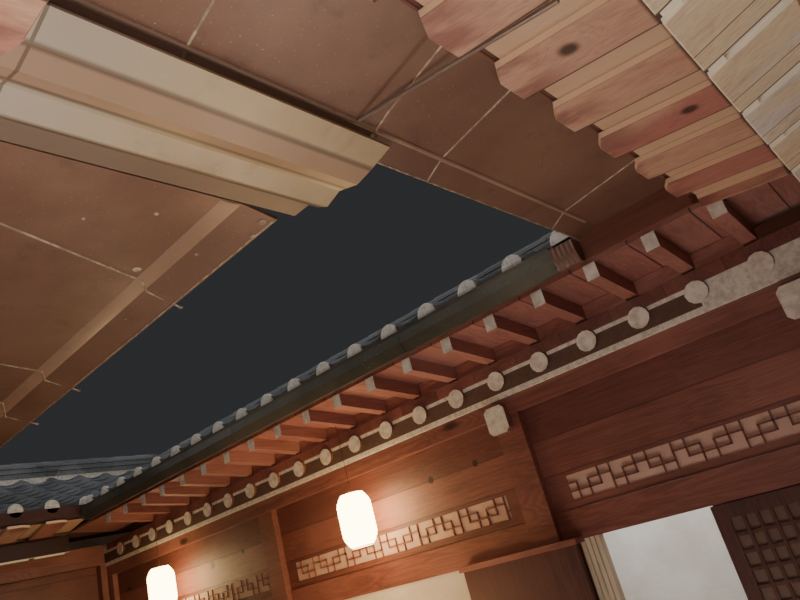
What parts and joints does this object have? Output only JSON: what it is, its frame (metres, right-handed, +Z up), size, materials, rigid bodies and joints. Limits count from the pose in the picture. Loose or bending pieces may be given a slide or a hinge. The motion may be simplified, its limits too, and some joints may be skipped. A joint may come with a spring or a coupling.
{
  "type": "courtyard hanok house",
  "caption": "Small urban hanok of tiled timber wings closed around a narrow yard, with rafter and plank eaves, metal rain awnings, lattice transoms and a sliding lattice door",
  "frame": {"origin": "centre of the plan at ground level", "axes": "+Z up, +Y towards the north wing that carries the sliding door, +X along that wing towards the east wing"},
  "size_m": [11.92, 8.99, 4.12],
  "materials": {
    "roof_tile": "matt fired clay, weathered",
    "lime_plaster": "matt trowelled lime plaster",
    "lattice_paper": "mulberry paper on a thin timber lattice",
    "pine_plank": "stained pine planks with knots",
    "floor_wood": "oiled boards",
    "brown_sheet": "semi-gloss paint on folded sheet",
    "beige_sheet": "satin paint on folded sheet",
    "charcoal_sheet": "satin paint on folded sheet",
    "stay_steel": "plain round rod",
    "lantern_shade": "white paper shade, lit from inside",
    "cream_wood": "pale planed pine",
    "dark_wood": "dark stained timber",
    "red_wood": "red-brown stained pine"
  },
  "bodies": {
    "house": {"dark_door_panel": "dark_wood", "doorway_jamb": "cream_wood", "east_awning": "brown_sheet", "east_floor": "floor_wood", "east_flying_planks": "pine_plank", "east_frame": "red_wood", "east_frieze": "dark_wood", "east_party_wall": "lime_plaster", "east_rafter_planks": "pine_plank", "east_roof": "roof_tile", "east_screens": "lattice_paper", "fixed_door_leaf": "dark_wood", "gutter_corner_piece": "brown_sheet", "lantern_east": "lantern_shade", "lantern_west": "lantern_shade", "north_corner_panel": "dark_wood", "north_corner_wall": "lime_plaster", "north_floor": "floor_wood", "north_flying_rafters": "red_wood", "north_frame": "red_wood", "north_frieze_1": "red_wood", "north_frieze_2": "red_wood", "north_frieze_3": "red_wood", "north_gutter": "charcoal_sheet", "north_party_wall": "lime_plaster", "north_rafter_plaster": "lime_plaster", "north_rafters": "red_wood", "north_roof": "roof_tile", "north_transom_1": "lattice_paper", "north_transom_2": "lattice_paper", "north_transom_3": "lattice_paper", "north_wall_middle": "lime_plaster", "north_wall_west": "lime_plaster", "ridge_stack": "roof_tile", "south_awning": "brown_sheet", "south_floor": "floor_wood", "south_flying_planks": "pine_plank", "south_frame": "red_wood", "south_frieze": "dark_wood", "south_party_wall": "lime_plaster", "south_rafter_planks": "pine_plank", "south_roof": "roof_tile", "south_screens": "lattice_paper", "stay_rod": "stay_steel", "street_gate_left": "dark_wood", "street_gate_right": "dark_wood", "valley_gutter": "beige_sheet", "west_floor": "floor_wood", "west_flying_planks": "pine_plank", "west_frame": "red_wood", "west_frieze": "dark_wood", "west_party_wall": "lime_plaster", "west_rafter_planks": "pine_plank", "west_roof": "roof_tile", "west_screens": "lattice_paper"},
    "door_leaf": {"sliding_door_leaf": "dark_wood"}
  },
  "joints": [
    {"name": "door_slide", "type": "slide", "parent": "house", "child": "door_leaf", "axis": [-1, 0, 0], "range_m": [0, 0.595]}
  ]
}
